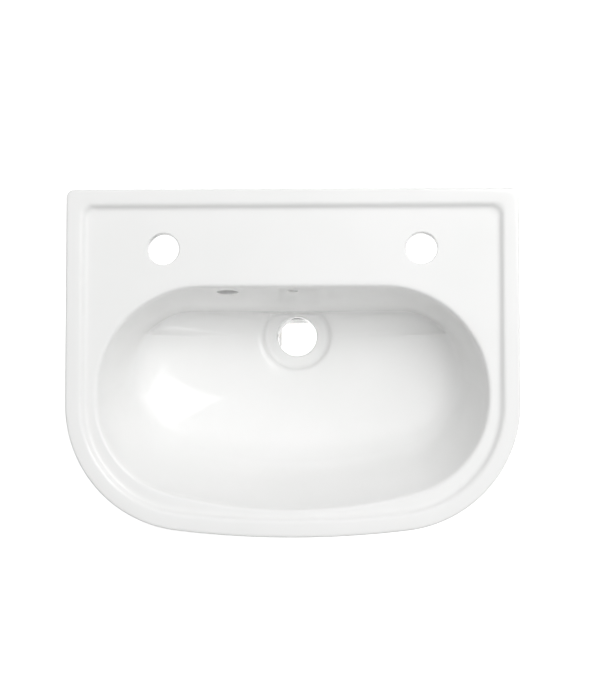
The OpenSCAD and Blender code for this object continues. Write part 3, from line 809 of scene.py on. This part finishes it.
def mix_colour(tree, factor, a, b):
    node = tree.nodes.new("ShaderNodeMix")
    node.data_type = "RGBA"
    tree.links.new(factor, node.inputs[0])
    tree.links.new(a, node.inputs[6])
    tree.links.new(b, node.inputs[7])
    return node.outputs[2]


def glaze(name, bare_below):
    """White vitreous china under a clear gloss glaze, bare below a height."""
    mat, tree, shader = nodes_of(name)
    body = ramp(tree, noise(tree, 9, 2), 0.35, 0.65, (0.885, 0.888, 0.880), (0.905, 0.905, 0.900))
    bare = ramp(tree, noise(tree, 420, 4), 0.3, 0.7, (0.70, 0.67, 0.61), (0.79, 0.76, 0.70))
    geometry = tree.nodes.new("ShaderNodeNewGeometry")
    split = tree.nodes.new("ShaderNodeSeparateXYZ")
    tree.links.new(geometry.outputs["Position"], split.inputs["Vector"])
    wobble = span(tree, noise(tree, 60, 2), 0.3, 0.7, -0.7 * MM, 0.7 * MM)
    height = tree.nodes.new("ShaderNodeMath")
    height.operation = "ADD"
    tree.links.new(split.outputs["Z"], height.inputs[0])
    tree.links.new(wobble, height.inputs[1])
    glazed = span(tree, height.outputs[0], bare_below - 0.3 * MM, bare_below + 0.3 * MM, 0, 1)
    feed(shader, "Base Color", mix_colour(tree, glazed, bare, body))
    gloss = span(tree, noise(tree, 22, 3), 0.3, 0.7, 0.035, 0.075)
    rough = tree.nodes.new("ShaderNodeMix")
    tree.links.new(glazed, rough.inputs[0])
    rough.inputs[2].default_value = 0.7
    tree.links.new(gloss, rough.inputs[3])
    feed(shader, "Roughness", rough.outputs[0])
    wave = bump(tree, noise(tree, 28, 1), 0.25 * MM, 0.10)
    feed(shader, "Normal", bump(tree, noise(tree, 300, 1), 0.02 * MM, 0.12, wave))
    shader.inputs["IOR"].default_value = 1.52
    return mat


def rubber():
    """Matt black rubber with a fine moulded grain."""
    mat, tree, shader = nodes_of("bedding_rubber")
    grain = noise(tree, 1800, 4)
    feed(shader, "Base Color", ramp(tree, grain, 0.3, 0.7, (0.018, 0.018, 0.020), (0.042, 0.041, 0.043)))
    feed(shader, "Roughness", span(tree, noise(tree, 500, 2), 0.3, 0.7, 0.62, 0.82))
    feed(shader, "Normal", bump(tree, grain, 0.06 * MM, 0.5))
    shader.inputs["IOR"].default_value = 1.5
    return mat


def nylon():
    """Satin white nylon, slightly cloudy, with a fine moulded skin."""
    mat, tree, shader = nodes_of("white_nylon")
    cloud = noise(tree, 140, 3)
    feed(shader, "Base Color", ramp(tree, cloud, 0.3, 0.7, (0.73, 0.73, 0.69), (0.81, 0.81, 0.78)))
    feed(shader, "Roughness", span(tree, noise(tree, 700, 3), 0.3, 0.7, 0.34, 0.50))
    feed(shader, "Normal", bump(tree, noise(tree, 2200, 2), 0.03 * MM, 0.35))
    shader.inputs["IOR"].default_value = 1.53
    shader.inputs["Subsurface Weight"].default_value = 0.08
    shader.inputs["Subsurface Scale"].default_value = 1 * MM
    return mat


def steel():
    """Drawn steel wire, with fine marks along its length."""
    mat, tree, shader = nodes_of("pin_steel")
    streak = noise(tree, 900, 4, (1, 0.06, 1))
    feed(shader, "Base Color", ramp(tree, streak, 0.3, 0.7, (0.50, 0.51, 0.52), (0.63, 0.64, 0.66)))
    feed(shader, "Roughness", span(tree, streak, 0.3, 0.7, 0.24, 0.40))
    feed(shader, "Normal", bump(tree, streak, 0.02 * MM, 0.4))
    shader.inputs["Metallic"].default_value = 1.0
    return mat


# ---------------------------------------------------------------- stage, light and camera
FLOOR_HALF = 6
FLOOR_GLOW = 0.58
WORLD_STRENGTH = 0.30
LIT_SPOT = (0, 0, 0.8)          # the middle of the rim, where the large lights point
KEY_SPOT = (-0.11, -0.035, 0.715)   # the floor of the bowl, where the key light is mirrored
LENS = 122.9
SENSOR_W = 36
CAMERA_AT = (0.107, -0.173, RIM_Z + 2.6)
CAMERA_AIM = (0.009, 0.0188, RIM_Z)


def stage():
    """A plain white floor that glows a little, so that it stays pale under the object."""
    mesh = bpy.data.meshes.new("floor")
    corners = [(x * FLOOR_HALF, y * FLOOR_HALF, 0) for x, y in ((-1, -1), (1, -1), (1, 1), (-1, 1))]
    mesh.from_pydata(corners, [], [[0, 1, 2, 3]])
    floor = new_object("floor", mesh)
    mat, tree, shader = nodes_of("floor")
    shader.inputs["Base Color"].default_value = (0.92, 0.92, 0.92, 1)
    shader.inputs["Roughness"].default_value = 0.9
    shader.inputs["Emission Color"].default_value = (1, 1, 1, 1)
    shader.inputs["Emission Strength"].default_value = FLOOR_GLOW
    mesh.materials.append(mat)


def area_light(name, where, target, size, radiance, turn=0.0, mirrored=True):
    """A one-sided softbox of that radiance, turned about its axis; the glaze may mirror it."""
    data = bpy.data.lights.new(name, "AREA")
    data.shape = "RECTANGLE"
    data.size, data.size_y = size
    data.energy = radiance * math.pi * size[0] * size[1]
    obj = new_object(name, data)
    obj.visible_glossy = mirrored
    forward = (Vector(target) - Vector(where)).normalized()
    right = forward.cross(Vector((0, 1, 0))).normalized()
    axes = Matrix((right, right.cross(forward), -forward)).transposed().to_4x4()
    obj.matrix_world = Matrix.Translation(where) @ axes @ Matrix.Rotation(turn, 4, "Z")


def lights():
    world = bpy.data.worlds.new("studio")
    bpy.context.scene.world = world
    world.use_nodes = True
    back = world.node_tree.nodes["Background"]
    back.inputs["Color"].default_value = (1, 1, 1, 1)
    back.inputs["Strength"].default_value = WORLD_STRENGTH
    area_light("overhead_scrim", (0.4, 0.4, 4.4), LIT_SPOT, (6.4, 6.4), 0.42)
    area_light("side_window", (2.2, 2.2, 3.0), LIT_SPOT, (2.6, 2.6), 1.15)
    area_light("high_fill", (0.62, 0.48, 2.9), LIT_SPOT, (1.3, 1.3), 3.3, mirrored=False)
    area_light("key_softbox", (0.72, 0.72, 2.71), KEY_SPOT, (0.90, 0.85), 2.1, math.radians(45))


def camera():
    data = bpy.data.cameras.new("camera")
    data.lens = LENS
    data.sensor_width = SENSOR_W
    cam = new_object("camera", data)
    where, aim = Vector(CAMERA_AT), Vector(CAMERA_AIM)
    forward = (aim - where).normalized()
    right = forward.cross(Vector((0, 1, 0))).normalized()
    up = right.cross(forward)
    cam.matrix_world = Matrix.Translation(where) @ Matrix((right, up, -forward)).transposed().to_4x4()
    bpy.context.scene.camera = cam


camera()
basin_glaze = glaze("white_glaze_basin", collar_z + 3 * MM)
pedestal_glaze = glaze("white_glaze_pedestal", 3 * MM)
black, white, wire = rubber(), nylon(), steel()
finished(make_basin(), "basin_casting", basin_glaze, "basin", BODY, 32)
finished(make_pedestal(), "pedestal_column", pedestal_glaze, "pedestal", BODY, 32)
for name in ("front_left", "front_right", "back_left", "back_right"):
    node = "pad_" + name
    finished(make_pad(node), "bedding_pad_" + name, black, node, BODY)
for name, side in (("left", -1), ("right", 1)):
    node = "wall_sleeve_" + name
    finished(make_sleeve(node), "bolt_sleeve_" + name, white, node, BODY)
    finished(make_cup(side), "screw_cup_" + name, white, "floor_cup_" + name, BODY)
    finished(make_lid(side), "cover_lid_" + name, white, "floor_lid_" + name, "lid_" + name)
    finished(make_pin(side), "hinge_pin_" + name, wire, "lid_pin_" + name, BODY)
stage()
lights()
bpy.context.scene.view_settings.view_transform = "Standard"
